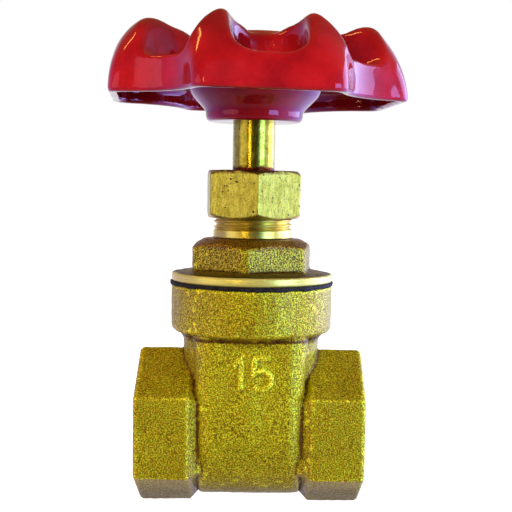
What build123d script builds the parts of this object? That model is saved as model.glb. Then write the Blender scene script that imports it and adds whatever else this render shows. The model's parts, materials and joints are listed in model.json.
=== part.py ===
from build123d import *
from math import atan2, cos, degrees, hypot, radians, sin
import os

# Half-inch gate valve: cast brass body with two threaded hexagon sockets, a screwed
# bonnet, a solid wedge on a non-rising stem, a packed gland and a cast handwheel.
# Millimetres. The origin is where the pipe axis (X) crosses the stem axis (Z, up).
# The valve is drawn closed, with the wedge down on its seats.

os.makedirs("parts", exist_ok=True)

# ---------------------------------------------------------------- driving dimensions

# Body: pipe ends
end_to_end = 42.72
socket_flats = 26.0
socket_shoulder_x = 11.4        # full hexagon from here outwards
socket_shoulder_run = 1.6       # 45 degree bevel at the inner end of each hexagon
socket_end_bevel = 0.5
thread_major_r = 10.48          # G 1/2 female thread
thread_bottom_x = 10.4
thread_entry_bevel = 0.8
port_r = 6.5

# Body: barrel and collar
barrel_r = 13.0
barrel_bottom_z = -13.1
barrel_front_y = 12.8
barrel_waist_half = 9.6
barrel_waist_corner_r = 2.4
barrel_shoulder_half = 10.6
barrel_shoulder_corner_r = 3.8
barrel_shoulder_z = 19.2
barrel_corner_r = 3.0
barrel_bottom_sections = (2.6, 5.2, 7.6, 9.6, 11.2, 12.2, 12.8)   # depths below the pipe axis
barrel_flare = ((2.0, 9.6), (8.75, 11.15), (15.5, 12.9))    # height, half width along X
collar_r = 15.35
collar_top_z = 27.6
collar_bore_r = 12.05
collar_bore_z = 19.0

# Body: chamber and wedge
taper = 0.07                    # half thickness gained per millimetre of height
wedge_half_x = 4.6              # half thickness on the pipe axis
wedge_half_y = 8.5
wedge_shoulder_z = 8.5
wedge_boss_r = 5.5
wedge_top_z = 13.2
wedge_bore_r = 3.1
wedge_bore_bottom_z = -7.2
seat_gap = 0.05
chamber_half_y = 9.0
chamber_wide_z = 8.0            # the slot is straight and wider above this height
chamber_wide_half_x = 5.9
rail_half_x = 0.9
rail_inner_y = 7.9
rail_z = (-3.0, 18.9)
rail_gap = 0.2

# Bonnet
flange_z = (28.2, 29.75)
bonnet_hex_flats = 21.5
bonnet_hex_z = (30.4, 36.3)
bonnet_hex_turn = 23.7          # one corner's direction, degrees from +X
bonnet_hex_corner_r = 2.0
bonnet_hex_crown_r = 9.3
spigot_r = 11.9
spigot_bottom_z = 20.5
wedge_pocket_r = 10.3
wedge_pocket_z = 24.5
retainer_way_r = 7.5
neck_r = 7.5
neck_root_r = 6.95
neck_thread_z = (38.2, 46.5)
neck_pitch = 1.0
packing_r = 6.0
packing_bottom_z = 38.2

# Stem
lift_thread_r = 3.0
lift_root_r = 2.45
lift_pitch = 2.5
lift_thread_z = (8.5, 28.5)
stem_pilot_r = 3.75
stem_collar_r = 6.2
stem_collar_z = (31.6, 34.0)
stem_r = 4.0
stem_shoulder_z = 58.5
stem_square = 5.6
stem_square_top_z = 70.1
stem_end_r = 2.45
stem_end_z = 75.0
running_gap = 0.06

# Gland
gland_nut_flats = 17.0
gland_nut_z = (40.2, 49.2)
gland_nut_turn = 35.7           # one corner's direction, degrees from +X
gland_nut_crown_r = 8.4
gland_nut_bore_r = 7.6
gland_nut_lid_z = 47.75
packing_ring_height = 1.8
packing_washer_height = 0.6
follower_flange_r = 7.0

# Handwheel, heights measured from the bottom edge of its skirt
wheel_z = 62.1
wheel_turn = 5.5                # direction of one lobe, degrees from +X
wheel_lobes = 4
lobe_face = 27.9                # from the axis to the flat outer face of a lobe
lobe_corner_t = 11.8
lobe_corner_r = 4.0
valley_r = 25.1
skirt_thickness = 2.7
spoke_underside = 3.6
dome_centre = (17.9, 3.5)
dome_arc_r = 11.2
boss_r = 12.7
boss_flare_z = (-1.5, 2.3)       # the hub widens into the boss between these heights
boss_top = 12.2
hub_r = 9.2
nut_pocket_r = 7.6
nut_pocket_floor = 8.0
window_half_t = 6.1
window_arc_centre = 18.2        # each window ends in a half circle towards the boss
window_outer = 25.2
window_lip = 5.8

# Wheel fixing, M5
washer_height = 0.5
spring_washer_height = 1.1
wheel_nut_flats = 8.0
wheel_nut_height = 2.7


# ---------------------------------------------------------------- shared shapes

def polar(radius, angle):
    """A point at a radius and an angle in degrees."""
    return (radius * cos(radians(angle)), radius * sin(radians(angle)))


def hex_crown(corner_r, crown_r, low, high, crown_low=True):
    """Radius and height points of the turned crown that bevels a hexagon at 30 degrees."""
    reach = corner_r * 1.01
    drop = (reach - crown_r) * 0.577
    bottom = [(0, low), (crown_r, low), (reach, low + drop)] if crown_low else [(0, low), (reach, low)]
    return bottom + [(reach, high - drop), (crown_r, high), (0, high)]


def ring_thread(crest_r, root_r, pitch, low, high, flank):
    """Points up one side of a thread drawn as rings; flank is the part of a pitch in each slope."""
    flat = (0.5 - flank) * pitch
    slope = flank * pitch
    points = []
    for turn in range(round((high - low) / pitch)):
        z = low + turn * pitch
        points += [(root_r, z), (root_r, z + flat), (crest_r, z + flat + slope)]
        points += [(crest_r, z + 2 * flat + slope)]
    return points


# ---------------------------------------------------------------- body

half_length = end_to_end / 2
chamber_half_x = wedge_half_x + seat_gap
chamber_low_half_x = chamber_half_x - taper * chamber_half_y
chamber_high_half_x = chamber_half_x + taper * chamber_wide_z

# The room that the wedge moves in: a tapered slot, round at the bottom.
with BuildPart() as chamber:
    with BuildSketch(Plane.XZ):
        with BuildLine():
            Polyline(
                (-chamber_low_half_x, -chamber_half_y),
                (chamber_low_half_x, -chamber_half_y),
                (chamber_high_half_x, chamber_wide_z),
                (chamber_wide_half_x, chamber_wide_z),
                (chamber_wide_half_x, collar_bore_z + 0.5),
                (-chamber_wide_half_x, collar_bore_z + 0.5),
                (-chamber_wide_half_x, chamber_wide_z),
                (-chamber_high_half_x, chamber_wide_z),
                close=True,
            )
        make_face()
    extrude(amount=chamber_half_y, both=True)
    with BuildSketch(Plane.YZ):
        Circle(chamber_half_y)
        Rectangle(2 * chamber_half_y, 2 * collar_bore_z, align=(Align.CENTER, Align.MIN))
    extrude(amount=barrel_r, both=True, mode=Mode.INTERSECT)

with BuildPart() as body:
    # Barrel: a box with a flat front and back and rounded corners that widens up to the collar.
    # Below the pipe axis it closes in to a rounded underside.
    with BuildSketch() as waist:
        Rectangle(2 * barrel_waist_half, 2 * barrel_front_y)
        fillet(waist.vertices(), barrel_waist_corner_r)
    with BuildSketch(Plane.XY.offset(barrel_shoulder_z)) as shoulder:
        Rectangle(2 * barrel_shoulder_half, 2 * barrel_front_y)
        fillet(shoulder.vertices(), barrel_shoulder_corner_r)
    loft()
    for depth in (0, *barrel_bottom_sections):
        narrowing = (1 - (depth / barrel_bottom_z) ** 2) ** 0.5
        with BuildSketch(Plane.XY.offset(-depth)):
            add(scale(waist.sketch, by=(1, narrowing, 1)))
    loft()
    # Cheeks beside it that flare into a round neck.
    for height, half_width in barrel_flare:
        with BuildSketch(Plane.XY.offset(height)) as section:
            Circle(barrel_r)
            Rectangle(2 * half_width, 3 * barrel_r, mode=Mode.INTERSECT)
            fillet(section.vertices(), barrel_corner_r)
    loft()
    flare_end_z = barrel_flare[-1][0]
    # Round collar on top, swept out of the neck.
    with BuildSketch(Plane.XZ):
        with BuildLine():
            FilletPolyline(
                (0, flare_end_z),
                (barrel_r - 0.1, flare_end_z),
                (barrel_r, 17.4),
                (14.0, 18.55),
                (collar_r, 19.0),
                (collar_r, collar_top_z),
                (0, collar_top_z),
                radius=[0.1, 1.0, 0.6, 0.9, 0.3],
            )
            Line((0, collar_top_z), (0, flare_end_z))
        make_face()
    revolve(axis=Axis.Z)
    # Hexagon sockets with a corner up and a corner down.
    for side in (-1, 1):
        outward = Plane((0, 0, 0), x_dir=(0, side, 0), z_dir=(side, 0, 0))
        with BuildSketch(outward.offset(socket_shoulder_x)) as socket_hex:
            RegularPolygon(socket_flats / 2, 6, major_radius=False, rotation=90)
        extrude(amount=half_length - socket_shoulder_x)
        neck_flats = socket_flats - 2 * socket_shoulder_run
        with BuildSketch(outward.offset(socket_shoulder_x - socket_shoulder_run)) as socket_neck:
            RegularPolygon(neck_flats / 2, 6, major_radius=False, rotation=90)
        loft([socket_hex.sketch.face(), socket_neck.sketch.face()])
        extrude(socket_neck.sketch, amount=-0.6)
    for end in (0, -1):
        chamfer(body.faces().sort_by(Axis.X)[end].outer_wire().edges(), socket_end_bevel)
    # Pipe threads, drawn at their major diameter, and the port between them.
    with BuildSketch(Plane.XZ):
        with BuildLine():
            bore_profile = [
                (half_length, 0),
                (half_length, thread_major_r + thread_entry_bevel),
                (half_length - thread_entry_bevel, thread_major_r),
                (thread_bottom_x, thread_major_r),
                (thread_bottom_x, port_r),
            ]
            Polyline(*bore_profile, *[(-x, r) for x, r in reversed(bore_profile)], close=True)
        make_face()
    revolve(axis=Axis.X, mode=Mode.SUBTRACT)
    # Chamber, guide rails and the thread for the bonnet.
    add(chamber.part, mode=Mode.SUBTRACT)
    rail_outer_y = chamber_half_y + 0.6
    with BuildSketch(Plane.XY.offset(rail_z[0])):
        with PolarLocations((rail_inner_y + rail_outer_y) / 2, 2, start_angle=90):
            Rectangle(rail_outer_y - rail_inner_y, 2 * rail_half_x)
    extrude(amount=rail_z[1] - rail_z[0])
    with BuildSketch(Plane.XY.offset(collar_bore_z)):
        Circle(collar_bore_r)
    extrude(amount=collar_top_z - collar_bore_z, mode=Mode.SUBTRACT)

body.part.label = "body"
export_step(body.part, "parts/body.step")

# ---------------------------------------------------------------- wedge

with BuildPart() as wedge:
    with BuildSketch(Plane.XZ):
        with BuildLine():
            low_half = wedge_half_x - taper * wedge_half_y
            high_half = wedge_half_x + taper * wedge_shoulder_z
            Polyline(
                (-low_half, -wedge_half_y),
                (low_half, -wedge_half_y),
                (high_half, wedge_shoulder_z),
                (-high_half, wedge_shoulder_z),
                close=True,
            )
        make_face()
    extrude(amount=wedge_half_y, both=True)
    with BuildSketch(Plane.YZ):
        Circle(wedge_half_y)
        Rectangle(2 * wedge_half_y, wedge_shoulder_z, align=(Align.CENTER, Align.MIN))
    extrude(amount=barrel_r, both=True, mode=Mode.INTERSECT)
    # Boss for the stem thread.
    with BuildSketch(Plane.XY.offset(wedge_shoulder_z)):
        Circle(wedge_boss_r)
        Rectangle(2 * wedge_half_x, 4 * wedge_boss_r, mode=Mode.INTERSECT)
    extrude(amount=wedge_top_z - wedge_shoulder_z)
    with BuildSketch(Plane.XY.offset(wedge_bore_bottom_z)):
        Circle(wedge_bore_r)
    extrude(amount=wedge_top_z - wedge_bore_bottom_z, mode=Mode.SUBTRACT)
    # Slots that run on the body's rails.
    with BuildSketch(Plane.XY.offset(-wedge_half_y)):
        with PolarLocations(rail_inner_y - rail_gap, 2, start_angle=90):
            Rectangle(wedge_half_y, 2 * (rail_half_x + rail_gap), align=(Align.MIN, Align.CENTER))
    extrude(amount=2 * wedge_half_y, mode=Mode.SUBTRACT)

wedge.part.label = "wedge"
export_step(wedge.part, "parts/wedge.step")

# ---------------------------------------------------------------- bonnet and its gasket

bonnet_hex_corner = bonnet_hex_flats / 2 / cos(radians(30))
collar_recess_z = stem_collar_z[1] + 0.6

with BuildPart() as bonnet:
    # Hexagon with a turned crown.
    with BuildSketch(Plane.XY.offset(flange_z[1])) as bonnet_hex:
        RegularPolygon(bonnet_hex_flats / 2, 6, major_radius=False, rotation=bonnet_hex_turn)
        fillet(bonnet_hex.vertices(), bonnet_hex_corner_r)
    extrude(amount=bonnet_hex_z[1] - flange_z[1])
    with BuildSketch(Plane.XZ):
        with BuildLine():
            Polyline(
                hex_crown(bonnet_hex_corner, bonnet_hex_crown_r, 0, bonnet_hex_z[1], crown_low=False),
                close=True,
            )
        make_face()
    revolve(axis=Axis.Z, mode=Mode.INTERSECT)
    # Spigot, flange and threaded neck, bored right through.
    with BuildSketch(Plane.XZ):
        with BuildLine():
            Polyline(
                (wedge_pocket_r, spigot_bottom_z),
                (spigot_r - 0.5, spigot_bottom_z),
                (spigot_r, spigot_bottom_z + 0.5),
                (spigot_r, flange_z[0]),
                (collar_r, flange_z[0]),
                (collar_r, flange_z[1]),
                (bonnet_hex_flats / 2 + 0.75, bonnet_hex_z[0]),
                (neck_r, bonnet_hex_z[0]),
                (neck_r, neck_thread_z[0]),
                *ring_thread(neck_r, neck_root_r, neck_pitch, neck_thread_z[0], neck_thread_z[1] - 0.3, 0.4),
                (neck_root_r, neck_thread_z[1]),
                (packing_r, neck_thread_z[1]),
                (packing_r, packing_bottom_z),
                (stem_r + running_gap, packing_bottom_z),
                (stem_r + running_gap, collar_recess_z),
                (stem_collar_r + 0.15, collar_recess_z),
                (stem_collar_r + 0.15, 31.5),
                (retainer_way_r - 0.2, 31.5),
                (retainer_way_r - 0.2, 29.2),
                (retainer_way_r, 29.2),
                (retainer_way_r, wedge_pocket_z),
                (wedge_pocket_r, wedge_pocket_z),
                close=True,
            )
        make_face()
    revolve(axis=Axis.Z)
    # The hexagon filled the middle, so its bore is cut through it as well.
    with BuildSketch(Plane.XZ):
        with BuildLine():
            Polyline(
                (0, flange_z[0]),
                (retainer_way_r - 0.2, flange_z[0]),
                (retainer_way_r - 0.2, 31.5),
                (stem_collar_r + 0.15, 31.5),
                (stem_collar_r + 0.15, collar_recess_z),
                (stem_r + running_gap, collar_recess_z),
                (stem_r + running_gap, packing_bottom_z),
                (0, packing_bottom_z),
                close=True,
            )
        make_face()
    revolve(axis=Axis.Z, mode=Mode.SUBTRACT)

bonnet.part.label = "bonnet"
export_step(bonnet.part, "parts/bonnet.step")

with BuildPart() as bonnet_gasket:
    with BuildSketch(Plane.XY.offset(collar_top_z)):
        Circle(collar_r + 0.1)
        Circle(collar_bore_r - 0.05, mode=Mode.SUBTRACT)
    extrude(amount=flange_z[0] - collar_top_z)

bonnet_gasket.part.label = "bonnet_gasket"
export_step(bonnet_gasket.part, "parts/bonnet_gasket.step")

# ---------------------------------------------------------------- stem and what holds it

with BuildPart() as stem:
    with BuildSketch(Plane.XZ):
        with BuildLine():
            Polyline(
                (0, lift_thread_z[0] - 0.5),
                (lift_root_r - 0.4, lift_thread_z[0] - 0.5),
                *ring_thread(lift_thread_r, lift_root_r, lift_pitch, *lift_thread_z, 0.15),
                (lift_root_r, lift_thread_z[1]),
                (stem_pilot_r, lift_thread_z[1]),
                (stem_pilot_r, stem_collar_z[0]),
                (stem_collar_r, stem_collar_z[0]),
                (stem_collar_r, stem_collar_z[1]),
                (stem_r, stem_collar_z[1]),
                (stem_r, stem_shoulder_z),
                (0, stem_shoulder_z),
                close=True,
            )
        make_face()
    revolve(axis=Axis.Z)
    with BuildSketch(Plane.XY.offset(stem_shoulder_z)):
        Rectangle(stem_square, stem_square, rotation=wheel_turn)
    extrude(amount=stem_square_top_z - stem_shoulder_z)
    with BuildSketch(Plane.XY.offset(stem_square_top_z)):
        Circle(stem_end_r)
    extrude(amount=stem_end_z - stem_square_top_z)
    chamfer(stem.faces().sort_by(Axis.Z)[-1].edges(), 0.4)

stem.part.label = "stem"
export_step(stem.part, "parts/stem.step")

with BuildPart() as thrust_washer:
    with BuildSketch(Plane.XY.offset(stem_collar_z[1] + 0.05)):
        Circle(stem_collar_r)
        Circle(stem_r + 0.1, mode=Mode.SUBTRACT)
    extrude(amount=0.5)

thrust_washer.part.label = "thrust_washer"
export_step(thrust_washer.part, "parts/thrust_washer.step")

# Ring nut that keeps the stem's collar up in the bonnet, with two spanner slots.
with BuildPart() as stem_retainer:
    with BuildSketch(Plane.XY.offset(29.2)):
        Circle(retainer_way_r - 0.25)
        Circle(stem_pilot_r + 0.15, mode=Mode.SUBTRACT)
    extrude(amount=2.3)
    with BuildSketch(Plane.XY.offset(29.2)):
        Rectangle(4 * retainer_way_r, 1.6)
    extrude(amount=0.9, mode=Mode.SUBTRACT)

stem_retainer.part.label = "stem_retainer"
export_step(stem_retainer.part, "parts/stem_retainer.step")

# ---------------------------------------------------------------- gland

packing_inner_r = stem_r + running_gap
packing_outer_r = packing_r - 0.05

with BuildPart() as packing_washer:
    with BuildSketch(Plane.XY.offset(packing_bottom_z)):
        Circle(packing_outer_r)
        Circle(packing_inner_r + 0.04, mode=Mode.SUBTRACT)
    extrude(amount=packing_washer_height)

packing_washer.part.label = "packing_washer"
export_step(packing_washer.part, "parts/packing_washer.step")

packing_z = packing_bottom_z + packing_washer_height
for ring_name in ("packing_ring_lower", "packing_ring_middle", "packing_ring_upper"):
    with BuildPart() as packing_ring:
        with BuildSketch(Plane.XY.offset(packing_z)):
            Circle(packing_outer_r)
            Circle(packing_inner_r, mode=Mode.SUBTRACT)
        extrude(amount=packing_ring_height)
    packing_ring.part.label = ring_name
    export_step(packing_ring.part, f"parts/{ring_name}.step")
    packing_z += packing_ring_height

follower_top_z = gland_nut_lid_z - 0.05
with BuildPart() as gland_follower:
    with BuildSketch(Plane.XZ):
        with BuildLine():
            Polyline(
                (stem_r + 0.1, packing_z),
                (packing_outer_r - 0.05, packing_z),
                (packing_outer_r - 0.05, follower_top_z - 1.0),
                (follower_flange_r, follower_top_z - 1.0),
                (follower_flange_r, follower_top_z),
                (stem_r + 0.1, follower_top_z),
                close=True,
            )
        make_face()
    revolve(axis=Axis.Z)

gland_follower.part.label = "gland_follower"
export_step(gland_follower.part, "parts/gland_follower.step")

gland_nut_corner = gland_nut_flats / 2 / cos(radians(30))
with BuildPart() as gland_nut:
    with BuildSketch(Plane.XY.offset(gland_nut_z[0])):
        RegularPolygon(gland_nut_flats / 2, 6, major_radius=False, rotation=gland_nut_turn)
    extrude(amount=gland_nut_z[1] - gland_nut_z[0])
    with BuildSketch(Plane.XZ):
        with BuildLine():
            Polyline(hex_crown(gland_nut_corner, gland_nut_crown_r, *gland_nut_z), close=True)
        make_face()
    revolve(axis=Axis.Z, mode=Mode.INTERSECT)
    with BuildSketch(Plane.XY.offset(gland_nut_z[0])):
        Circle(gland_nut_bore_r)
    extrude(amount=gland_nut_lid_z - gland_nut_z[0], mode=Mode.SUBTRACT)
    with BuildSketch(Plane.XY.offset(gland_nut_z[0])):
        Circle(stem_r + 0.2)
    extrude(amount=gland_nut_z[1] - gland_nut_z[0], mode=Mode.SUBTRACT)

gland_nut.part.label = "gland_nut"
export_step(gland_nut.part, "parts/gland_nut.step")

# ---------------------------------------------------------------- handwheel

wheel_axes = Plane.XY.offset(wheel_z).rotated((0, 0, wheel_turn))
wheel_section = Plane.XZ.shift_origin((0, 0, wheel_z))
corner_reach = hypot(lobe_face, lobe_corner_t)
corner_angle = degrees(atan2(lobe_corner_t, lobe_face))
lobe_step = 360 / wheel_lobes
crest = dome_centre[1] + dome_arc_r


def wheel_outline():
    """Flat lobe faces joined by hollow valleys."""
    for lobe in range(wheel_lobes):
        middle = lobe * lobe_step
        before = polar(corner_reach, middle - corner_angle)
        after = polar(corner_reach, middle + corner_angle)
        next_corner = polar(corner_reach, middle + lobe_step - corner_angle)
        Line(before, after)
        ThreePointArc(after, polar(valley_r, middle + lobe_step / 2), next_corner)


def radial_plane(angle, distance):
    """A plane across a radius of the wheel: x runs round the wheel, y is height."""
    out_x, out_y = polar(1, wheel_turn + angle)
    return Plane((0, 0, wheel_z), x_dir=(-out_y, out_x, 0), z_dir=(out_x, out_y, 0)).offset(distance)


def trough(plane, floor, floor_half, top_half, corner_r):
    """An open-topped trough section: floor height, half widths, and rounded lower corners."""
    with BuildSketch(plane) as section:
        with BuildLine():
            Polyline(
                (-top_half, crest + 3),
                (-floor_half, floor),
                (floor_half, floor),
                (top_half, crest + 3),
                close=True,
            )
        make_face()
        fillet(section.vertices().group_by(Axis.Z)[0], corner_r)
    return section.sketch.face()


with BuildPart() as handwheel:
    with BuildSketch(wheel_axes) as rim:
        with BuildLine():
            wheel_outline()
        make_face()
        fillet(rim.vertices(), lobe_corner_r)
    extrude(amount=crest + 1)
    # The top is domed and dips towards the boss.
    with BuildSketch(wheel_section):
        with BuildLine():
            dome_r = dome_centre[0] + dome_arc_r
            Polyline((0, boss_top), (0, 0), (dome_r, 0), (dome_r, dome_centre[1]))
            CenterArc(dome_centre, dome_arc_r, 0, 90)
            Spline(
                (dome_centre[0], crest),
                (14.2, 13.5),
                (11.9, boss_top - 0.2),
                tangents=((-1, 0), (-1, -0.3)),
            )
            Line((11.9, boss_top - 0.2), (0, boss_top))
        make_face()
    revolve(axis=Axis.Z, mode=Mode.INTERSECT)
    # Hollow underneath, inside the skirt.
    with BuildSketch(wheel_axes) as hollow:
        with BuildLine():
            wheel_outline()
        make_face()
        fillet(hollow.vertices(), lobe_corner_r)
        offset(amount=-skirt_thickness)
    extrude(amount=spoke_underside, mode=Mode.SUBTRACT)
    # The wall of each lobe is open above a lip, and wider towards the top.
    for lobe in range(wheel_lobes):
        angle = lobe * lobe_step
        loft(
            [
                trough(radial_plane(angle, 16), window_lip, 5.6, 7.0, 2.4),
                trough(radial_plane(angle, 31), window_lip, 5.9, 9.8, 2.4),
            ],
            mode=Mode.SUBTRACT,
        )
    # A trough along each valley, rising towards the boss.
    for lobe in range(wheel_lobes):
        angle = (lobe + 0.5) * lobe_step
        loft(
            [
                trough(radial_plane(angle, 10), 8.8, 4.6, 6.6, 3.4),
                trough(radial_plane(angle, 31), 5.2, 5.0, 8.2, 3.4),
            ],
            mode=Mode.SUBTRACT,
        )
    # Boss and hub with a pocket for the nut and a square hole for the stem.
    with BuildSketch(wheel_section):
        with BuildLine():
            hub_bottom = stem_shoulder_z - wheel_z
            FilletPolyline(
                (0, hub_bottom),
                (hub_r, hub_bottom),
                (hub_r, boss_flare_z[0]),
                (boss_r, boss_flare_z[1]),
                (boss_r, boss_top),
                (nut_pocket_r, boss_top),
                (nut_pocket_r, nut_pocket_floor),
                (0, nut_pocket_floor),
                radius=[1.2, 0.6, 1.0, 0.8, 0.8, 0.6],
            )
            Line((0, nut_pocket_floor), (0, hub_bottom))
        make_face()
    revolve(axis=Axis.Z)
    with BuildSketch(wheel_axes.offset(nut_pocket_floor)):
        Circle(nut_pocket_r)
    extrude(amount=crest, mode=Mode.SUBTRACT)
    # A window right through each lobe, square at the rim and round towards the boss.
    with BuildSketch(wheel_axes.offset(spoke_underside - 0.5)):
        with PolarLocations(window_arc_centre, wheel_lobes):
            Circle(window_half_t)
            Rectangle(window_outer - window_arc_centre, 2 * window_half_t, align=(Align.MIN, Align.CENTER))
    extrude(amount=crest, mode=Mode.SUBTRACT)
    with BuildSketch(wheel_axes.offset(hub_bottom)):
        Rectangle(stem_square + 0.1, stem_square + 0.1)
    extrude(amount=crest, mode=Mode.SUBTRACT)

handwheel.part.label = "handwheel"
export_step(handwheel.part, "parts/handwheel.step")

# ---------------------------------------------------------------- wheel fixing

fixing_z = wheel_z + nut_pocket_floor
with BuildPart() as wheel_washer:
    with BuildSketch(Plane.XY.offset(fixing_z)):
        Circle(5.0)
        Circle(stem_end_r + 0.2, mode=Mode.SUBTRACT)
    extrude(amount=washer_height)

wheel_washer.part.label = "wheel_washer"
export_step(wheel_washer.part, "parts/wheel_washer.step")

fixing_z += washer_height
with BuildPart() as wheel_spring_washer:
    with BuildSketch(Plane.XY.offset(fixing_z)):
        Circle(4.4)
        Circle(stem_end_r + 0.15, mode=Mode.SUBTRACT)
        Rectangle(6, 0.6, align=(Align.MIN, Align.CENTER), rotation=35, mode=Mode.SUBTRACT)
    extrude(amount=spring_washer_height)

wheel_spring_washer.part.label = "wheel_spring_washer"
export_step(wheel_spring_washer.part, "parts/wheel_spring_washer.step")

fixing_z += spring_washer_height
with BuildPart() as wheel_nut:
    with BuildSketch(Plane.XY.offset(fixing_z)):
        RegularPolygon(wheel_nut_flats / 2, 6, major_radius=False, rotation=20)
    extrude(amount=wheel_nut_height)
    wheel_nut_corner = wheel_nut_flats / 2 / cos(radians(30))
    with BuildSketch(Plane.XZ):
        with BuildLine():
            Polyline(
                hex_crown(wheel_nut_corner, wheel_nut_flats / 2, fixing_z, fixing_z + wheel_nut_height),
                close=True,
            )
        make_face()
    revolve(axis=Axis.Z, mode=Mode.INTERSECT)
    with BuildSketch(Plane.XY.offset(fixing_z)):
        Circle(stem_end_r + 0.05)
    extrude(amount=wheel_nut_height, mode=Mode.SUBTRACT)

wheel_nut.part.label = "wheel_nut"
export_step(wheel_nut.part, "parts/wheel_nut.step")
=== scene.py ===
import json
import math

import bmesh
import bpy
import numpy as np
from mathutils import Matrix, Vector, noise


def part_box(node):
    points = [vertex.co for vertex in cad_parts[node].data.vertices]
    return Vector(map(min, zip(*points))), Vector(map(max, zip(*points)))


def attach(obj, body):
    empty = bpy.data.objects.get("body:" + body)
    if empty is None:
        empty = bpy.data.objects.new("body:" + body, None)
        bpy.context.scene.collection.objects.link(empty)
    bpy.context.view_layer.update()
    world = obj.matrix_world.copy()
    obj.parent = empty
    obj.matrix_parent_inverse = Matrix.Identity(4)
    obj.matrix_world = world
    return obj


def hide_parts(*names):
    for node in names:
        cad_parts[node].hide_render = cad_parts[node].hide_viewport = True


# A half-inch brass gate valve. Everything is in metres in the CAD frame: the origin is where the
# pipe axis (X) meets the stem axis (Z), and the front is -Y.

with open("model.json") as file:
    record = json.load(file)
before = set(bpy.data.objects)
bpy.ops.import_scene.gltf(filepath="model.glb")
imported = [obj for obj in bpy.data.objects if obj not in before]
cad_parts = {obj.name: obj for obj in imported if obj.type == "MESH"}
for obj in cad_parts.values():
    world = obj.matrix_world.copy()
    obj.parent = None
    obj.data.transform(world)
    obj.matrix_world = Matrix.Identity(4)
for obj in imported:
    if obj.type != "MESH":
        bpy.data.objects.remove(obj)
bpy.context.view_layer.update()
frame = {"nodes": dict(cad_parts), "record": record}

MM = 0.001
scene = bpy.context.scene
low = {name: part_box(name)[0] for name in frame["nodes"]}
high = {name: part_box(name)[1] for name in frame["nodes"]}


# ------------------------------------------------------------------ mesh helpers

def new_piece(name, mesh, material, body, replaces=()):
    """Puts a mesh in the scene as a piece that rides on a CAD body."""
    piece = bpy.data.objects.new(name, mesh)
    scene.collection.objects.link(piece)
    mesh.materials.clear()
    mesh.materials.append(material)
    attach(piece, body)
    if replaces:
        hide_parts(*replaces)
    return piece


def welded_copy(node):
    """A copy of a CAD node's mesh with its faces sewn together."""
    mesh = frame["nodes"][node].data.copy()
    bm = bmesh.new()
    bm.from_mesh(mesh)
    bmesh.ops.remove_doubles(bm, verts=bm.verts, dist=0.002 * MM)
    bm.to_mesh(mesh)
    bm.free()
    return mesh


def modified(mesh, *modifiers):
    """A new mesh: the old one after some modifiers, each given as (type, {setting: value})."""
    holder = bpy.data.objects.new("holder", mesh)
    scene.collection.objects.link(holder)
    for number, (kind, settings) in enumerate(modifiers):
        modifier = holder.modifiers.new(f"step_{number}", kind)
        for setting, value in settings.items():
            setattr(modifier, setting, value)
    graph = bpy.context.evaluated_depsgraph_get()
    result = bpy.data.meshes.new_from_object(holder.evaluated_get(graph))
    bpy.data.objects.remove(holder)
    return result


def softened(mesh, voxel, rounds):
    """Rebuilds a closed mesh on an even grid and rounds its edges a little."""
    result = modified(
        mesh,
        ("REMESH", {"mode": "VOXEL", "voxel_size": voxel, "use_smooth_shade": True}),
        ("SMOOTH", {"factor": 0.5, "iterations": rounds}),
    )
    result.shade_smooth()
    return result


def points_of(mesh):
    co = np.empty(len(mesh.vertices) * 3, np.float32)
    mesh.vertices.foreach_get("co", co)
    return co.reshape(-1, 3).astype(float)


def normals_of(mesh):
    out = np.empty(len(mesh.vertices) * 3, np.float32)
    mesh.vertices.foreach_get("normal", out)
    return out.reshape(-1, 3).astype(float)


def set_points(mesh, points):
    mesh.vertices.foreach_set("co", points.astype(np.float32).ravel())
    mesh.update()


def rough_noise(points, scale, seed=0.0):
    """Smooth noise from -1 to 1 at each point, with features about `scale` across."""
    shift = Vector((seed, 2.3 * seed, -1.7 * seed))
    return np.array([noise.noise(Vector(p) / scale + shift) for p in points])


def uneven(mesh, layers, weight=None):
    """Pushes a surface in and out along its normals: layers are (height, scale, seed)."""
    points = points_of(mesh)
    push = sum(height * rough_noise(points, scale, seed) for height, scale, seed in layers)
    if weight is not None:
        push = push * weight
    set_points(mesh, points + normals_of(mesh) * push[:, None])


def mesh_from(name, points, faces):
    mesh = bpy.data.meshes.new(name)
    mesh.from_pydata([tuple(p) for p in points], [], faces)
    mesh.update()
    mesh.shade_smooth()
    return mesh


def lathe_mesh(name, outline, turns=128, shape=None):
    """Spins a closed outline of (radius, height) points about Z. shape(radius, angle, height) may
    change the radius."""
    outline = np.array(outline, float)
    angles = np.arange(turns) * 2 * math.pi / turns
    radius = np.tile(outline[:, 0], (turns, 1))
    height = np.tile(outline[:, 1], (turns, 1))
    around = np.tile(angles[:, None], (1, len(outline)))
    if shape:
        radius, height = shape(radius, around, height)
    points = np.stack([radius * np.cos(around), radius * np.sin(around), height], axis=-1).reshape(-1, 3)
    count = len(outline)
    faces = []
    for i in range(turns):
        a, b = i * count, ((i + 1) % turns) * count
        faces += [(a + k, b + k, b + (k + 1) % count, a + (k + 1) % count) for k in range(count)]
    return outward(mesh_from(name, points, faces))


def outward(mesh):
    bm = bmesh.new()
    bm.from_mesh(mesh)
    bmesh.ops.recalc_face_normals(bm, faces=bm.faces)
    bm.to_mesh(mesh)
    bm.free()
    return mesh


def between(start, end, step):
    """Evenly spaced points along a line, without its end point."""
    start, end = np.array(start, float), np.array(end, float)
    count = max(1, round(float(np.linalg.norm(end - start)) / step))
    return [tuple(start + (end - start) * k / count) for k in range(count)]


def smooth_max(a, b, k):
    """The larger of two fields, blended over about k where they are close."""
    h = np.clip(0.5 + 0.5 * (a - b) / k, 0, 1)
    return b + (a - b) * h + k * h * (1 - h)


def smooth_min(a, b, k):
    return -smooth_max(-a, -b, k)


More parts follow.
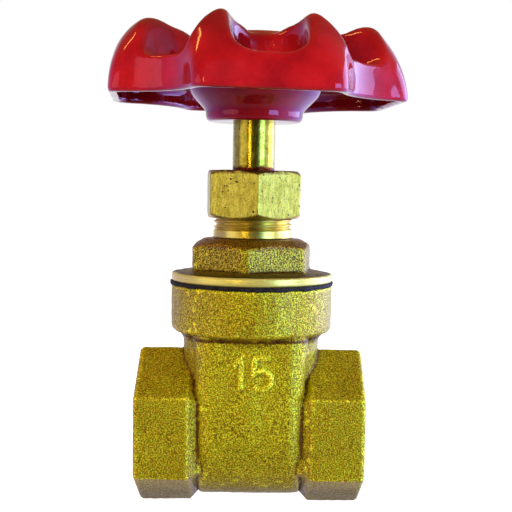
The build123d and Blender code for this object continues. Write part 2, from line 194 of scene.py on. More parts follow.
def skin(field, origin, step):
    """Surface nets: points and quads on the zero level of a field that is negative inside."""
    inside = field < 0
    shape = np.array(field.shape)
    keys, crossings, quads = [], [], []
    for axis in range(3):
        near = [slice(None)] * 3
        far = [slice(None)] * 3
        near[axis], far[axis] = slice(None, -1), slice(1, None)
        near, far = tuple(near), tuple(far)
        cells = np.argwhere(inside[near] != inside[far])
        a = field[near][tuple(cells.T)]
        b = field[far][tuple(cells.T)]
        point = cells.astype(float)
        point[:, axis] += a / (a - b)
        second, third = (axis + 1) % 3, (axis + 2) % 3
        corners = []
        for back_2, back_3 in ((0, 0), (1, 0), (1, 1), (0, 1)):
            cell = cells.copy()
            cell[:, second] -= back_2
            cell[:, third] -= back_3
            key = (cell[:, 0] * shape[1] + cell[:, 1]) * shape[2] + cell[:, 2]
            keys.append(key)
            crossings.append(point)
            corners.append(key)
        quad = np.stack(corners, axis=1)
        flip = a > 0
        quad[flip] = quad[flip][:, ::-1]
        quads.append(quad)
    keys, crossings, quads = np.concatenate(keys), np.concatenate(crossings), np.concatenate(quads)
    used, place = np.unique(keys, return_inverse=True)
    total = np.zeros((len(used), 3))
    for axis in range(3):
        total[:, axis] = np.bincount(place, crossings[:, axis])
    points = total / np.bincount(place)[:, None]
    return origin + points * step, np.searchsorted(used, quads)


# ------------------------------------------------------------------ materials

class Nodes:
    """Short names for building a Principled material."""

    def __init__(self, name, **sockets):
        self.material = bpy.data.materials.new(name)
        self.material.use_nodes = True
        self.tree = self.material.node_tree
        self.shader = self.tree.nodes["Principled BSDF"]
        for socket, value in sockets.items():
            self.shader.inputs[socket.replace("_", " ")].default_value = value
        self.coords = self.add("ShaderNodeTexCoord").outputs["Object"]

    def add(self, kind, **settings):
        node = self.tree.nodes.new(kind)
        for key, value in settings.items():
            setattr(node, key, value)
        return node

    def link(self, source, target):
        self.tree.links.new(source, target)

    def noise(self, scale, detail=3.0, roughness=0.6, vector=None):
        """Noise with features about `scale` metres across."""
        node = self.add("ShaderNodeTexNoise")
        node.inputs["Scale"].default_value = 1 / scale
        node.inputs["Detail"].default_value = detail
        node.inputs["Roughness"].default_value = roughness
        self.link(vector or self.coords, node.inputs["Vector"])
        return node.outputs["Fac"]

    def stretched(self, x=1.0, y=1.0, z=1.0, shift=0.0):
        node = self.add("ShaderNodeMapping")
        node.inputs["Scale"].default_value = (x, y, z)
        node.inputs["Location"].default_value = (shift * MM, -shift * MM, 2 * shift * MM)
        self.link(self.coords, node.inputs["Vector"])
        return node.outputs["Vector"]

    def ramp(self, value, *stops):
        """Colours or greys against a value: stops are (position, colour or grey)."""
        node = self.add("ShaderNodeValToRGB")
        elements = node.color_ramp.elements
        while len(elements) < len(stops):
            elements.new(0.5)
        for element, (position, colour) in zip(elements, stops):
            element.position = position
            if not hasattr(colour, "__len__"):
                colour = (colour, colour, colour)
            element.color = (*colour, 1)
        self.link(value, node.inputs["Fac"])
        return node.outputs["Color"]

    def mix(self, factor, a, b, kind="MIX"):
        node = self.add("ShaderNodeMix", data_type="RGBA", blend_type=kind)
        for name, value in (("Factor", factor), ("A", a), ("B", b)):
            socket = node.inputs[name]
            if isinstance(value, bpy.types.NodeSocket):
                self.link(value, socket)
            elif socket.type == "RGBA":
                socket.default_value = (*value, 1)
            else:
                socket.default_value = value
        return node.outputs["Result"]

    def maths(self, operation, a, b=0.0):
        node = self.add("ShaderNodeMath", operation=operation)
        for socket, value in zip(node.inputs, (a, b)):
            if isinstance(value, bpy.types.NodeSocket):
                self.link(value, socket)
            else:
                socket.default_value = value
        return node.outputs["Value"]

    def position(self, axis):
        node = self.add("ShaderNodeSeparateXYZ")
        self.link(self.coords, node.inputs["Vector"])
        return node.outputs[axis]

    def position_mm(self, axis, start, end):
        """0 to 1 between two heights in millimetres along an axis."""
        node = self.add("ShaderNodeMapRange")
        node.inputs["From Min"].default_value = start * MM
        node.inputs["From Max"].default_value = end * MM
        self.link(self.position(axis), node.inputs["Value"])
        return node.outputs["Result"]

    def axis_distance(self):
        """How far a point is from the stem axis."""
        x, y = self.position("X"), self.position("Y")
        squares = self.maths("ADD", self.maths("MULTIPLY", x, x), self.maths("MULTIPLY", y, y))
        return self.maths("SQRT", squares)

    def bump(self, *layers):
        """Stacks bumps: each layer is (height socket, strength, distance in metres)."""
        normal = None
        for height, strength, distance in layers:
            node = self.add("ShaderNodeBump")
            node.inputs["Strength"].default_value = strength
            node.inputs["Distance"].default_value = distance
            self.link(height, node.inputs["Height"])
            if normal:
                self.link(normal, node.inputs["Normal"])
            normal = node.outputs["Normal"]
        self.link(normal, self.shader.inputs["Normal"])

    def colour(self, socket):
        self.link(socket, self.shader.inputs["Base Color"])

    def rough(self, socket):
        self.link(socket, self.shader.inputs["Roughness"])


def cast_brass(machined=None, shade=(1.0, 1.0, 1.0), spread=0.19):
    """Shot-blasted casting: olive gold with a fine, sparkling grain, which a smaller spread makes
    harsher. machined is a band of heights that was turned bright."""
    n = Nodes("cast_brass", Metallic=0.6, Specular_IOR_Level=0.2, Coat_Weight=0.22, Coat_Roughness=0.35)
    plain = (1.0, 1.0, 1.0)

    grain = n.noise(0.25 * MM, 1.0, 0.6)
    hue = n.noise(0.45 * MM, 1.0, 0.5, n.stretched(1.0, 1.0, 1.0, 7.0))
    fine = n.noise(0.20 * MM, 1.0, 0.5)
    patch = n.noise(8 * MM, 3.0, 0.55)
    base = n.ramp(
        grain,
        (0.5 - spread, (0.11, 0.05, 0.001)),
        (0.50, (0.38, 0.29, 0.003)),
        (0.5 + spread, (0.82, 0.73, 0.030)),
    )
    tint = n.ramp(hue, (0.36, (1.08, 0.89, 0.70)), (0.64, (0.92, 1.07, 1.25)))
    dull_patch = tuple(a * b for a, b in zip(shade, (0.86, 0.82, 0.75)))
    tone = n.ramp(patch, (0.35, dull_patch), (0.65, shade))

    # Painted shade towards the bottom, painted light on the lower barrel, and a painted shadow under the
    # collar.
    painted_underside_shade = n.ramp(n.position_mm("Z", -15.0, -5.0), (0.28, (0.40, 0.38, 0.16)), (0.8, plain))
    # Painted light: the middle of the barrel is brightened below the collar.
    painted_barrel_light = n.ramp(n.position_mm("Z", 14.0, 22.0), (0.4, (1.14, 1.20, 1.15)), (0.6, plain))
    off_centre = n.maths("MULTIPLY", n.maths("ABSOLUTE", n.position("X")), 1 / (20 * MM))
    painted_barrel_light = n.mix(n.ramp(off_centre, (0.46, 1.0), (0.54, 0.0)), plain, painted_barrel_light)
    # Painted shadow: a ragged dark band in the corner under the collar.
    ragged = n.maths("MULTIPLY", n.noise(1.2 * MM, 2.0), 0.10)
    under_collar = n.maths("ADD", n.position_mm("Z", 16.0, 20.0), ragged)
    dark = (0.30, 0.17, 0.10)
    painted_collar_shadow = n.ramp(under_collar, (0.46, plain), (0.51, dark), (0.61, dark), (0.70, plain))

    # Painted shade darkens the creases, and the edges are brightened, partly as rubbed wear and partly
    # as painted highlight.
    crease_shade_and_edge_shine = n.ramp(
        n.add("ShaderNodeNewGeometry").outputs["Pointiness"],
        (0.467, (0.24, 0.12, 0.07)),
        (0.494, (0.95, 0.93, 0.91)),
        (0.51, 1.0),
        (0.54, (1.8, 1.9, 2.4)),
    )
    colour = n.mix(1.0, base, tint, "MULTIPLY")
    for layer in (tone, painted_underside_shade, painted_barrel_light, painted_collar_shadow, crease_shade_and_edge_shine):
        colour = n.mix(1.0, colour, layer, "MULTIPLY")
    rough = n.ramp(grain, (0.3, 0.58), (0.7, 0.38))
    if not machined:
        n.colour(colour)
        n.rough(rough)
        n.bump((grain, 0.75, 0.13 * MM), (fine, 0.5, 0.05 * MM))
        return n.material

    low_z, high_z = machined
    height = n.position_mm("Z", low_z - 1, high_z + 1)
    span = high_z - low_z + 2
    band = n.ramp(
        height,
        (0.9 / span, 0.0),
        (1.0 / span, 1.0),
        ((span - 1.0) / span, 1.0),
        ((span - 0.9) / span, 0.0),
    )
    lines = n.noise(0.10 * MM, 2.0, 0.6, n.stretched(0.02, 0.02, 1.0))
    # Painted shade: darker on the flange's top and on the top of the hexagon.
    painted_ledge_shade = n.ramp(
        n.position_mm("Z", 29.5, 36.5),
        (0.06, (0.15, 0.09, 0.06)),
        (0.20, plain),
        (0.70, plain),
        (0.80, (0.56, 0.36, 0.30)),
    )
    colour = n.mix(1.0, colour, painted_ledge_shade, "MULTIPLY")
    n.colour(n.mix(band, colour, (0.66, 0.54, 0.12)))
    n.rough(n.mix(band, rough, n.ramp(lines, (0.3, 0.24), (0.7, 0.38))))
    cast_grain = n.maths("MULTIPLY", grain, n.maths("SUBTRACT", 1.0, band))
    n.bump((cast_grain, 0.75, 0.13 * MM), (n.maths("MULTIPLY", lines, band), 0.3, 0.03 * MM))
    return n.material


def turned_brass():
    """Bright machined brass with fine rings round the stem axis."""
    n = Nodes("turned_brass", Metallic=1.0)
    rings = n.noise(0.12 * MM, 2.0, 0.6, n.stretched(0.02, 0.02, 1.0))
    stain = n.noise(3.5 * MM, 4.0, 0.6)
    tone = n.ramp(stain, (0.35, (0.70, 0.52, 0.07)), (0.60, (0.84, 0.70, 0.17)))
    pointed = n.add("ShaderNodeNewGeometry").outputs["Pointiness"]
    grooves = n.ramp(pointed, (0.40, (0.30, 0.12, 0.06)), (0.49, (1.0, 1.0, 1.0)))
    n.colour(n.mix(1.0, tone, grooves, "MULTIPLY"))
    n.rough(n.ramp(rings, (0.3, 0.26), (0.7, 0.40)))
    n.bump((rings, 0.35, 0.02 * MM))
    return n.material


def stem_brass():
    """Drawn and polished rod with a little stain, and dark grease with painted shade where it enters the
    gland nut.
    """
    n = Nodes("stem_brass", Metallic=1.0)
    draw = n.noise(0.30 * MM, 3.0, 0.65, n.stretched(1.0, 1.0, 0.10))
    stain = n.noise(1.1 * MM, 4.0, 0.65)
    specks = n.noise(0.55 * MM, 0.0, 0.4)
    tone = n.ramp(stain, (0.36, (0.36, 0.28, 0.02)), (0.60, (0.62, 0.51, 0.07)))
    tone = n.mix(1.0, tone, n.ramp(draw, (0.3, 0.78), (0.65, 1.0)), "MULTIPLY")
    tone = n.mix(n.ramp(specks, (0.76, 0.0), (0.80, 1.0)), tone, (0.03, 0.02, 0.008))
    # A dark ring at the foot: grease, with painted shade where the stem enters the nut.
    edge = n.maths("MULTIPLY", n.noise(1.5 * MM, 2.0), 0.45)
    height = n.maths("ADD", n.position_mm("Z", 48.7, 52.5), edge)
    grease_and_shade = n.ramp(height, (0.50, 1.0), (0.64, 0.0))
    n.colour(n.mix(grease_and_shade, tone, (0.10, 0.012, 0.004)))
    n.rough(n.mix(grease_and_shade, n.ramp(draw, (0.3, 0.16), (0.7, 0.30)), (0.35, 0.35, 0.35)))
    n.bump((draw, 0.25, 0.02 * MM))
    return n.material


def drawn_brass():
    """The gland nut: drawn bar, with upright scratches, a few dark pits, and dark grease with painted
    shade round the stem on its top.
    """
    n = Nodes("drawn_brass", Metallic=0.95, Coat_Weight=0.25, Coat_Roughness=0.35)
    streaks = n.noise(0.25 * MM, 3.0, 0.65, n.stretched(1.0, 1.0, 0.16))
    stain = n.noise(0.9 * MM, 4.0, 0.65, n.stretched(1.0, 1.0, 0.4))
    pits = n.noise(0.75 * MM, 1.0, 0.4)
    tone = n.ramp(stain, (0.36, (0.50, 0.41, 0.030)), (0.60, (0.75, 0.65, 0.086)))
    tone = n.mix(1.0, tone, n.ramp(streaks, (0.32, 0.72), (0.62, 1.0)), "MULTIPLY")
    tone = n.mix(1.0, tone, n.ramp(n.noise(0.30 * MM, 2.0, 0.6), (0.34, 0.45), (0.46, 1.0)), "MULTIPLY")
    hole = n.ramp(pits, (0.715, 0.0), (0.735, 1.0))
    # A dark ring round the stem on top: grease, with painted shade in the recess.
    top = n.ramp(n.position_mm("Z", 48.2, 49.0), (0.2, 0.0), (0.6, 1.0))
    edge = n.maths("MULTIPLY", n.noise(1.3 * MM, 3.0), 0.35)
    reach = n.maths("ADD", n.maths("MULTIPLY", n.axis_distance(), 1 / (12 * MM)), edge)
    grease_and_shade = n.maths("MULTIPLY", n.ramp(reach, (0.86, 1.0), (0.97, 0.0)), top)
    tone = n.mix(hole, tone, (0.02, 0.010, 0.004))
    n.colour(n.mix(grease_and_shade, tone, (0.10, 0.016, 0.004)))
    n.rough(n.ramp(streaks, (0.3, 0.44), (0.7, 0.30)))
    n.bump((streaks, 0.35, 0.04 * MM), (n.maths("SUBTRACT", 1.0, hole), 0.9, 0.2 * MM))
    return n.material


def red_enamel():
    """Thick glossy enamel that pooled unevenly over a casting, with painted shade making it darker
    towards the top.
    """
    n = Nodes("red_enamel", IOR=1.55, Specular_Tint=(1.0, 0.50, 0.85, 1.0))
    flow = n.noise(7 * MM, 2.0, 0.5)
    ripple = n.noise(2.2 * MM, 2.0, 0.5)
    speck = n.noise(0.7 * MM, 3.0, 0.6)
    base = n.ramp(flow, (0.35, (0.24, 0.003, 0.005)), (0.65, (0.37, 0.006, 0.008)))
    # Painted shade: the enamel darkens towards the top of the wheel.
    base = n.mix(1.0, base, n.ramp(n.position_mm("Z", 66, 76), (0.1, 1.0), (0.9, 0.70)), "MULTIPLY")
    n.colour(n.mix(1.0, base, n.ramp(speck, (0.3, 0.86), (0.6, 1.0)), "MULTIPLY"))
    n.rough(n.ramp(ripple, (0.3, 0.05), (0.7, 0.12)))
    n.bump((flow, 0.25, 0.5 * MM), (ripple, 0.12, 0.12 * MM))
    return n.material


def black_fibre():
    """The gasket's matt, fuzzy edge."""
    n = Nodes("black_fibre", Roughness=0.7, Specular_IOR_Level=0.25)
    fibre = n.noise(0.5 * MM, 3.0, 0.7)
    n.colour(n.ramp(fibre, (0.40, (0.002, 0.001, 0.001)), (0.75, (0.025, 0.018, 0.016))))
    n.bump((fibre, 0.9, 0.15 * MM))
    return n.material


def graphite_braid():
    """Packing: a slanting weave, black with graphite."""
    n = Nodes("graphite_braid", Roughness=0.55, Metallic=0.2)
    weave = n.add("ShaderNodeTexWave", wave_type="BANDS", bands_direction="DIAGONAL")
    weave.inputs["Scale"].default_value = 1 / (3 * MM)
    weave.inputs["Distortion"].default_value = 1.5
    n.link(n.coords, weave.inputs["Vector"])
    n.colour(n.ramp(weave.outputs["Fac"], (0.2, (0.02, 0.02, 0.022)), (0.8, (0.10, 0.10, 0.10))))
    n.bump((weave.outputs["Fac"], 0.6, 0.1 * MM))
    return n.material


def zinc_plate():
    """The wheel's fixings: cloudy zinc on steel."""
    n = Nodes("zinc_plate", Metallic=1.0, Roughness=0.3)
    cloud = n.noise(1.2 * MM, 4.0, 0.6)
    n.colour(n.ramp(cloud, (0.3, (0.52, 0.52, 0.50)), (0.7, (0.76, 0.76, 0.73))))
    n.rough(n.ramp(cloud, (0.3, 0.38), (0.7, 0.24)))
    n.bump((n.noise(0.25 * MM, 2.0), 0.2, 0.02 * MM))
    return n.material


materials = {
    "cast_brass": cast_brass(),
    "machined_brass": turned_brass(),
    "red_enamel": red_enamel(),
    "gasket_fibre": black_fibre(),
    "packing": graphite_braid(),
    "zinc_steel": zinc_plate(),
}
bonnet_brass = cast_brass(machined=(28.0, 29.75), shade=(0.74, 0.70, 0.90), spread=0.115)
stem_material = stem_brass()
nut_material = drawn_brass()
# A lighter copy of the cast brass for the size mark: partly rubbed wear, partly painted highlight.
rubbed_highlit_mark_brass = cast_brass(shade=(1.45, 1.55, 2.4))

for row in frame["record"]["subparts"]:
    node = frame["nodes"][row["node"]]
    node.data.materials.clear()
    finish = stem_material if row["node"] == "stem" else materials[row["material_slot"]]
    node.data.materials.append(finish)


# ------------------------------------------------------------------ body casting

def stroke(points, radius):
    """A rounded raised line through some points, as a closed mesh."""
    curve = bpy.data.curves.new("stroke", "CURVE")
    curve.dimensions = "3D"
    curve.bevel_depth = radius
    curve.bevel_resolution = 3
    curve.use_fill_caps = True
    spline = curve.splines.new("POLY")
    spline.points.add(len(points) - 1)
    for point, place in zip(spline.points, points):
        point.co = (*place, 1)
    holder = bpy.data.objects.new("stroke", curve)
    scene.collection.objects.link(holder)
    graph = bpy.context.evaluated_depsgraph_get()
    mesh = bpy.data.meshes.new_from_object(holder.evaluated_get(graph))
    bpy.data.objects.remove(holder)
    return mesh


def size_mark():
    """The raised nominal size, 15, as strokes in millimetres across and up the barrel's front."""
    one = [(-2.9, 13.6), (-1.7, 15.2), (-1.7, 9.4)]
    bowl = [
        (2.05 + 1.75 * math.cos(a), 11.15 + 1.75 * math.sin(a))
        for a in np.linspace(math.radians(150), math.radians(-140), 15)
    ]
    five = [(3.6, 15.2), (0.85, 15.2), (0.55, 12.1), *bowl]
    return [one, five]


def join(meshes):
    bm = bmesh.new()
    for mesh in meshes:
        bm.from_mesh(mesh)
    result = bpy.data.meshes.new("joined")
    bm.to_mesh(result)
    bm.free()
    return result


def raised_size():
    """The size mark's strokes, sunk into the front of the barrel so that they stand proud of it."""
    front_y, line_r, proud = -12.8 * MM, 0.58 * MM, 0.85 * MM
    strokes = []
    for line in size_mark():
        fine = []
        for (x0, z0), (x1, z1) in zip(line, line[1:]):
            steps = np.linspace(0, 1, 5)[:-1]
            fine += [(x0 + (x1 - x0) * t, z0 + (z1 - z0) * t) for t in steps]
        fine.append(line[-1])
        middle_y = front_y + line_r - proud
        strokes.append(stroke([(x * MM, middle_y, z * MM) for x, z in fine], line_r))
    mesh = softened(join(strokes), 0.10 * MM, 3)
    uneven(mesh, [(0.05 * MM, 1.1 * MM, 2.0)])
    return new_piece("size_mark", mesh, rubbed_highlit_mark_brass, "valve", ["body"])


def body_casting():
    """The CAD body with softened edges and a cast surface; its bores and end faces stay smooth."""
    mesh = softened(welded_copy("body"), 0.30 * MM, 3)
    points = points_of(mesh)
    across = np.hypot(points[:, 1], points[:, 2])
    inside = (np.abs(points[:, 0]) > 10 * MM) & (across < 11.6 * MM)
    axis_r = np.hypot(points[:, 0], points[:, 1])
    inside |= (axis_r < 12.6 * MM) & (np.abs(points[:, 0]) < 10 * MM) & (across < 9.6 * MM)
    end_face = np.abs(points[:, 0]) > high["body"].x - 0.3 * MM
    weight = np.where(inside | end_face, 0.1, 1.0)
    layers = [(0.10 * MM, 4.5 * MM, 1.0), (0.055 * MM, 1.1 * MM, 2.0), (0.03 * MM, 0.55 * MM, 3.0)]
    uneven(mesh, layers, weight)
    return new_piece("body_casting", mesh, materials["cast_brass"], "valve", ["body"])


# ------------------------------------------------------------------ bonnet

def bonnet_casting():
    """The CAD bonnet below its neck, with a cast hexagon. The neck is a piece of its own."""
    mesh = welded_copy("bonnet")
    hexagon_top = 36.3 * MM
    bm = bmesh.new()
    bm.from_mesh(mesh)
    cut = bmesh.ops.bisect_plane(
        bm,
        geom=bm.verts[:] + bm.edges[:] + bm.faces[:],
        dist=1e-7,
        plane_co=(0, 0, hexagon_top + 0.6 * MM),
        plane_no=(0, 0, 1),
        clear_outer=True,
    )
    edges = [e for e in cut["geom_cut"] if isinstance(e, bmesh.types.BMEdge)]
    bmesh.ops.holes_fill(bm, edges=edges, sides=0)
    bm.to_mesh(mesh)
    bm.free()
    mesh = softened(mesh, 0.22 * MM, 5)
    points = points_of(mesh)
    axis_r = np.hypot(points[:, 0], points[:, 1])
    cast = (points[:, 2] > 29.6 * MM) & (points[:, 2] < hexagon_top + 0.3 * MM) & (axis_r > 8.2 * MM)
    layers = [(0.09 * MM, 3.5 * MM, 4.0), (0.06 * MM, 0.9 * MM, 5.0), (0.03 * MM, 0.5 * MM, 6.0)]
    uneven(mesh, layers, cast * 1.0)
    return new_piece("bonnet_casting", mesh, bonnet_brass, "valve", ["bonnet"])


def thread(radius, angle, height, pitch, depth, start, end, fade):
    """Takes a helical V thread of some depth out of a radius between two heights."""
    phase = (height / pitch - angle / (2 * math.pi)) % 1.0
    groove = np.clip(1.25 - np.abs(phase - 0.5) * 2.9, 0, 1)
    reach = np.clip((height - start) / fade, 0, 1) * np.clip((end - height) / fade, 0, 1)
    return radius - depth * groove * reach


def bonnet_neck():
    """The bonnet's turned neck, with the thread that the gland nut screws on."""
    outline = (
        between((7.5, 36.2), (7.5, 46.1), 0.09)
        + [(7.5, 46.1), (7.0, 46.5), (6.0, 46.5), (6.0, 38.2), (4.06, 38.2), (4.06, 36.2)]
    )

    def cut(radius, angle, height):
        outer = radius > 7.4
        worked = thread(radius, angle, height, 1.0, 0.55, 37.85, 47.5, 0.5)
        return np.where(outer, worked, radius), height

    mesh = lathe_mesh("bonnet_neck", outline, 180, cut)
    set_points(mesh, points_of(mesh) * MM)
    brass = materials["machined_brass"]
    return new_piece("bonnet_neck", mesh, brass, "valve", ["bonnet"])


def socket_threads():
    """The pipe thread inside each socket, as a sleeve set in the body's bore."""
    for side, sign in (("outlet", 1), ("inlet", -1)):
        outline = (
            [(10.62, 10.3), (10.62, 20.2)]
            + between((10.45, 20.2), (10.45, 10.5), 0.15)
            + [(10.45, 10.5), (10.45, 10.3)]
        )

        def ridges(radius, angle, height):
            inner = radius < 10.5
            turned = thread(radius, angle, height, 1.814, 1.1, 11.2, 20.1, 1.2)
            return np.where(inner, turned, radius), height

        mesh = lathe_mesh(f"{side}_thread", outline, 144, ridges)
        points = points_of(mesh)
        set_points(mesh, np.stack([sign * points[:, 2], sign * points[:, 1], points[:, 0]], axis=1) * MM)
        outward(mesh)
        brass = materials["machined_brass"]
        new_piece(f"{side}_thread", mesh, brass, "valve", ["body"])


def gasket_ring():
    """A fibre ring squeezed out unevenly between the collar and the flange."""
    inner_r, outer_r, bottom_z, top_z = 12.1, 15.38, 27.59, 28.24
    outline = (
        between((outer_r, bottom_z), (outer_r, top_z), 0.07)
        + between((outer_r, top_z), (inner_r, top_z), 0.8)
        + between((inner_r, top_z), (inner_r, bottom_z), 0.3)
        + between((inner_r, bottom_z), (outer_r, bottom_z), 0.8)
    )

    def squeezed(radius, angle, height):
        outer = radius > 15.3
        across = np.clip(1 - ((height - 27.91) / 0.34) ** 2, 0, 1)
        ring = np.stack([15 * np.cos(angle), 15 * np.sin(angle), height * 1.5], axis=-1).reshape(-1, 3)
        wave = rough_noise(ring, 2.4, 11.0).reshape(radius.shape)
        nick = rough_noise(ring, 0.8, 12.0).reshape(radius.shape)
        edge = outer & (height < 27.75)
        radius = np.where(outer, radius + 0.10 + (0.16 * wave + 0.10 * nick) + 0.12 * across, radius)
        return radius, np.where(edge, height - 0.10 - 0.16 * wave - 0.10 * nick, height)

    mesh = lathe_mesh("gasket_ring", outline, 260, squeezed)
    set_points(mesh, points_of(mesh) * MM)
    fibre = materials["gasket_fibre"]
    return new_piece("gasket_ring", mesh, fibre, "valve", ["bonnet_gasket"])


def gland_nut():
    """The CAD gland nut with softened edges."""
    mesh = softened(welded_copy("gland_nut"), 0.17 * MM, 2)
    uneven(mesh, [(0.03 * MM, 2.0 * MM, 21.0)])
    return new_piece("gland_nut_drawn", mesh, nut_material, "valve", ["gland_nut"])


body_casting()
raised_size()
bonnet_casting()
bonnet_neck()
socket_threads()
gasket_ring()
gland_nut()

# ------------------------------------------------------------------ handwheel


def wheel_field(x, y, z):
    """Handwheel in millimetres about its own axis, with its lobes along X and Y and heights from its
    skirt's edge: negative inside the metal."""
    outer = np.clip((np.hypot(x, y) - 9) / 6, 0, 1)
    z = z + 0.008 * x * outer
    x = x - 0.25 * outer
    lean = np.minimum(x, 0) / 27
    along = np.maximum(abs(x), abs(y))
    across = np.minimum(abs(x), abs(y))
    rho = np.hypot(x, y)
    valley = (along + across) / math.sqrt(2)
    beside = (along - across) / math.sqrt(2)

    reach = 27.4 - 0.03 * np.maximum(x - 8, 0)
    outline = smooth_max(along - reach, 15.3 - np.hypot(valley - 40.0, beside), 2.8)
    slant = 0.783 * rho + 0.621 * z - 26.1 + 0.9 * lean
    peak = 14.9 - 0.06 * np.maximum(-x - 8, 0) - 0.02 * np.maximum(x - 8, 0)
    foot = 13.4 - 1.2 * np.clip((x - 8) / 6, 0, 1)
    crown = smooth_max(z - peak, (z - 11.9 - 0.8 * (rho - foot)) * 0.78, 2.0)
    saddle = (z - 11.4 - 0.95 * np.maximum(across - 2.5, 0)) * 0.75
    wheel = smooth_max(smooth_max(outline, slant, 3.6), smooth_max(crown, saddle, 1.2), 2.4)
    wheel = smooth_max(wheel, -z, 0.8)
    hollow = smooth_max(outline + 1.7, z - 3.8, 2.0)
    wheel = smooth_max(wheel, -hollow, 0.7)

    # A window through each lobe, with its mouth open above a lip.
    edge = 0.7 + 0.26 * np.clip(z - 6.5, 0, 8)
    half = 5.7 + 0.13 * np.maximum(z - 5.8, 0) * np.clip((along - 17) / 6, 0, 1)
    slot = np.where(along < 19.8, np.hypot(along - 19.8, across), across) - half
    mouth = smooth_max(slot, 6.2 - z, 4.2)
    window = smooth_min(smooth_max(slot, along - 25.2, 1.5), mouth, 1.2)
    wheel = smooth_max(wheel, -window, edge)

    # A trough along each valley that rises to the boss.
    floor = 6.5 - 0.25 * np.clip(25.5 - valley, 0, 4) + 0.35 * np.maximum(17 - valley, 0) ** 1.5
    side = (beside - 4.9 - 0.24 * (z - floor)) * 0.97
    trough = smooth_max(side, (floor - z) * 0.97, 1.6)
    wheel = smooth_max(wheel, -trough, edge)

    # Boss and hub.
    boss = smooth_max(smooth_max(rho - 12.2, z - 11.9, 1.6), 3.4 - z, 1.0)
    wheel = smooth_min(wheel, boss, 1.2)
    flare = smooth_max(rho - 13.4, 0.70 * (rho - 9.4) - 0.71 * (z + 1.5), 2.0)
    flare = smooth_max(smooth_max(flare, -2.0 - z, 0.8), z - 5.5, 0.8)
    wheel = smooth_min(wheel, flare, 0.8)
    hub = smooth_max(smooth_max(rho - 9.2, -3.8 - z, 1.3), z - 11.5, 1.0)
    wheel = smooth_min(wheel, hub, 0.6)
    wheel = smooth_max(wheel, -np.maximum(rho - 7.6, 8.0 - z), 0.5)
    return np.maximum(wheel, 2.85 - np.maximum(abs(x), abs(y)))


def wheel_grid(step):
    """The wheel's field on an even grid, and the place of the grid's first point."""
    half_side, bottom_z, top_z = 30.5, -5.2, 16.0
    n = int(math.ceil(half_side / step))
    side = np.arange(-n, n + 1) * step
    up = np.arange(bottom_z, top_z, step)
    x, y, z = np.meshgrid(side, side, up, indexing="ij")
    return wheel_field(x, y, z), np.array([side[0], side[0], up[0]])


def handwheel_casting():
    """The enamelled wheel, turned and lifted to its place on the stem."""
    step, skirt_z, turn = 0.4, 62.1, math.radians(5.5)
    field, origin = wheel_grid(step)
    points, quads = skin(field, origin, step)
    x, y, z = points.T
    turned_x = x * math.cos(turn) - y * math.sin(turn)
    turned_y = x * math.sin(turn) + y * math.cos(turn)
    placed = np.stack([turned_x, turned_y, z + skirt_z], 1) * MM
    mesh = outward(mesh_from("handwheel_enamelled", placed, quads.tolist()))
    uneven(mesh, [(0.07 * MM, 9 * MM, 7.0), (0.035 * MM, 3.0 * MM, 8.0)])
    enamel = materials["red_enamel"]
    return new_piece("handwheel_enamelled", mesh, enamel, "spindle", ["handwheel"])


handwheel_casting()


# ------------------------------------------------------------------ floor, light and camera

def stage_floor():
    """A white floor that doesn't mirror in the brass or tint it."""
    size = 3.0
    floor_z = low["body"].z - 0.2 * MM
    corners = [(x * size, y * size, floor_z) for x, y in ((-1, -1), (1, -1), (1, 1), (-1, 1))]
    mesh = mesh_from("floor", corners, [(0, 1, 2, 3)])
    floor = bpy.data.objects.new("floor", mesh)
    scene.collection.objects.link(floor)
    n = Nodes("floor_white", Roughness=0.9, Emission_Strength=0.95, Emission_Color=(1, 1, 1, 1))
    n.shader.inputs["Base Color"].default_value = (0.5, 0.5, 0.5, 1)
    mesh.materials.append(n.material)
    floor.visible_glossy = False
    floor.visible_diffuse = False


def stage_backdrop():
    """A plain white dome that only the camera sees, so every view has the same backdrop."""
    mesh = bpy.data.meshes.new("backdrop")
    bm = bmesh.new()
    bmesh.ops.create_icosphere(bm, subdivisions=4, radius=2.8)
    bm.to_mesh(mesh)
    bm.free()
    mesh.shade_smooth()
    dome = bpy.data.objects.new("backdrop", mesh)
    scene.collection.objects.link(dome)
    n = Nodes(
        "backdrop_white",
        Roughness=1.0,
        Specular_IOR_Level=0.0,
        Emission_Strength=1.0,
        Emission_Color=(1, 1, 1, 1),
    )
    n.shader.inputs["Base Color"].default_value = (0, 0, 0, 1)
    mesh.materials.append(n.material)
    for ray in ("diffuse", "glossy", "transmission", "volume_scatter", "shadow"):
        setattr(dome, f"visible_{ray}", False)


def area_light(name, place, size, power, colour=(1, 1, 1), shape="RECTANGLE", target=(0, 0, 0.03)):
    light = bpy.data.lights.new(name, "AREA")
    light.shape = shape
    light.size, light.size_y = size
    light.energy = power
    light.color = colour
    lamp = bpy.data.objects.new(name, light)
    scene.collection.objects.link(lamp)
    lamp.location = place
    lamp.rotation_euler = (Vector(target) - Vector(place)).to_track_quat("-Z", "Y").to_euler()
    return lamp


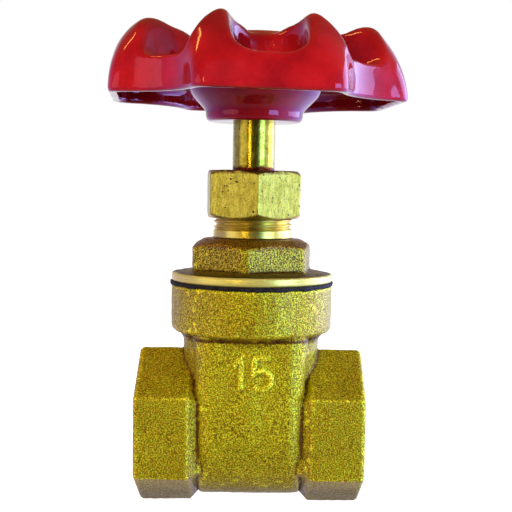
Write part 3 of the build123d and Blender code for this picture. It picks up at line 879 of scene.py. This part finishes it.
def studio_world():
    """What the gloss mirrors: bright round the horizon, dim overhead and in front, and cooler and
    brighter to the right."""
    world = bpy.data.worlds.new("studio")
    world.use_nodes = True
    tree = world.node_tree

    def node(kind, **settings):
        new = tree.nodes.new(kind)
        for key, value in settings.items():
            setattr(new, key, value)
        return new

    def ramp(source, *stops):
        new = node("ShaderNodeValToRGB")
        elements = new.color_ramp.elements
        while len(elements) < len(stops):
            elements.new(0.5)
        for element, (position, colour) in zip(elements, stops):
            element.position, element.color = position, (*colour, 1)
        tree.links.new(source, new.inputs["Fac"])
        return new.outputs["Color"]

    def half(source):
        new = node("ShaderNodeMath", operation="MULTIPLY_ADD")
        new.inputs[1].default_value, new.inputs[2].default_value = 0.5, 0.5
        tree.links.new(source, new.inputs[0])
        return new.outputs["Value"]

    def product(a, b):
        new = node("ShaderNodeMix", data_type="RGBA", blend_type="MULTIPLY")
        new.inputs["Factor"].default_value = 1.0
        tree.links.new(a, new.inputs["A"])
        tree.links.new(b, new.inputs["B"])
        return new.outputs["Result"]

    coords = node("ShaderNodeTexCoord")
    split = node("ShaderNodeSeparateXYZ")
    tree.links.new(coords.outputs["Generated"], split.inputs["Vector"])
    rise = ramp(
        half(split.outputs["Z"]),
        (0.00, (0.66, 0.58, 0.40)),
        (0.38, (1.25, 1.10, 1.45)),
        (0.475, (1, 1, 1)),
        (0.60, (1, 1, 1)),
        (0.75, (0.38, 0.21, 0.08)),
    )
    depth = ramp(
        half(split.outputs["Y"]),
        (0.08, (0.08, 0.08, 0.08)),
        (0.35, (0.55, 0.55, 0.55)),
        (0.7, (1, 1, 1)),
    )
    side = ramp(
        half(split.outputs["X"]),
        (0.08, (0.46, 0.44, 0.95)),
        (0.40, (1, 1, 1)),
        (0.62, (1, 1, 1)),
        (0.88, (1.3, 1.4, 3.0)),
    )
    tree.links.new(product(product(rise, depth), side), tree.nodes["Background"].inputs["Color"])
    tree.nodes["Background"].inputs["Strength"].default_value = 1.05
    scene.world = world


def camera():
    distance, height = 200.59 * MM, 45.56 * MM
    side, pitch, roll, turn = 4.69 * MM, math.radians(5.4), math.radians(0.99), math.radians(1.16)
    place = Vector((side, -distance, height))
    forward = Vector((0, math.cos(pitch), -math.sin(pitch)))
    right = Vector((1, 0, 0))
    up = right.cross(forward)
    rolled_right = math.cos(roll) * right + math.sin(roll) * up
    rolled_up = -math.sin(roll) * right + math.cos(roll) * up
    axes = Matrix((rolled_right, rolled_up, -forward)).transposed().to_4x4()
    data = bpy.data.cameras.new("camera")
    data.sensor_width = 36
    data.lens = 73.46
    data.shift_x, data.shift_y = -0.0392, 0.0647
    data.clip_start, data.clip_end = 0.01, 10
    eye = bpy.data.objects.new("camera", data)
    scene.collection.objects.link(eye)
    eye.matrix_world = Matrix.Rotation(-turn, 4, "Z") @ Matrix.Translation(place) @ axes
    scene.camera = eye


scene.view_settings.view_transform = "Standard"
stage_floor()
stage_backdrop()
studio_world()
front = area_light("front", (-0.10, -0.66, 0.26), (0.36, 0.36), 6.1, (1.0, 0.95, 0.86))
front.visible_glossy = False
right = area_light("right", (0.62, -0.12, 0.05), (0.40, 0.40), 2.9, (0.40, 0.97, 1.0))
right.visible_glossy = False
area_light("side", (0.33, -0.305, 0.06), (0.20, 0.30), 1.5, (0.28, 0.58, 1.0))
area_light("panel", (0.47, 0.17, 0.12), (0.42, 0.34), 2.2, (0.50, 0.62, 1.0))
area_light("left", (-0.40, -0.24, 0.05), (0.36, 0.34), 0.32, (1.0, 0.88, 0.62), "ELLIPSE")
area_light("strip", (-0.17, -0.42, 0.10), (0.018, 0.20), 0.26, (1.0, 0.74, 0.16))
area_light("high", (-0.36, 0.02, 0.42), (0.03, 0.16), 0.30, (1.0, 0.66, 0.12))
camera()
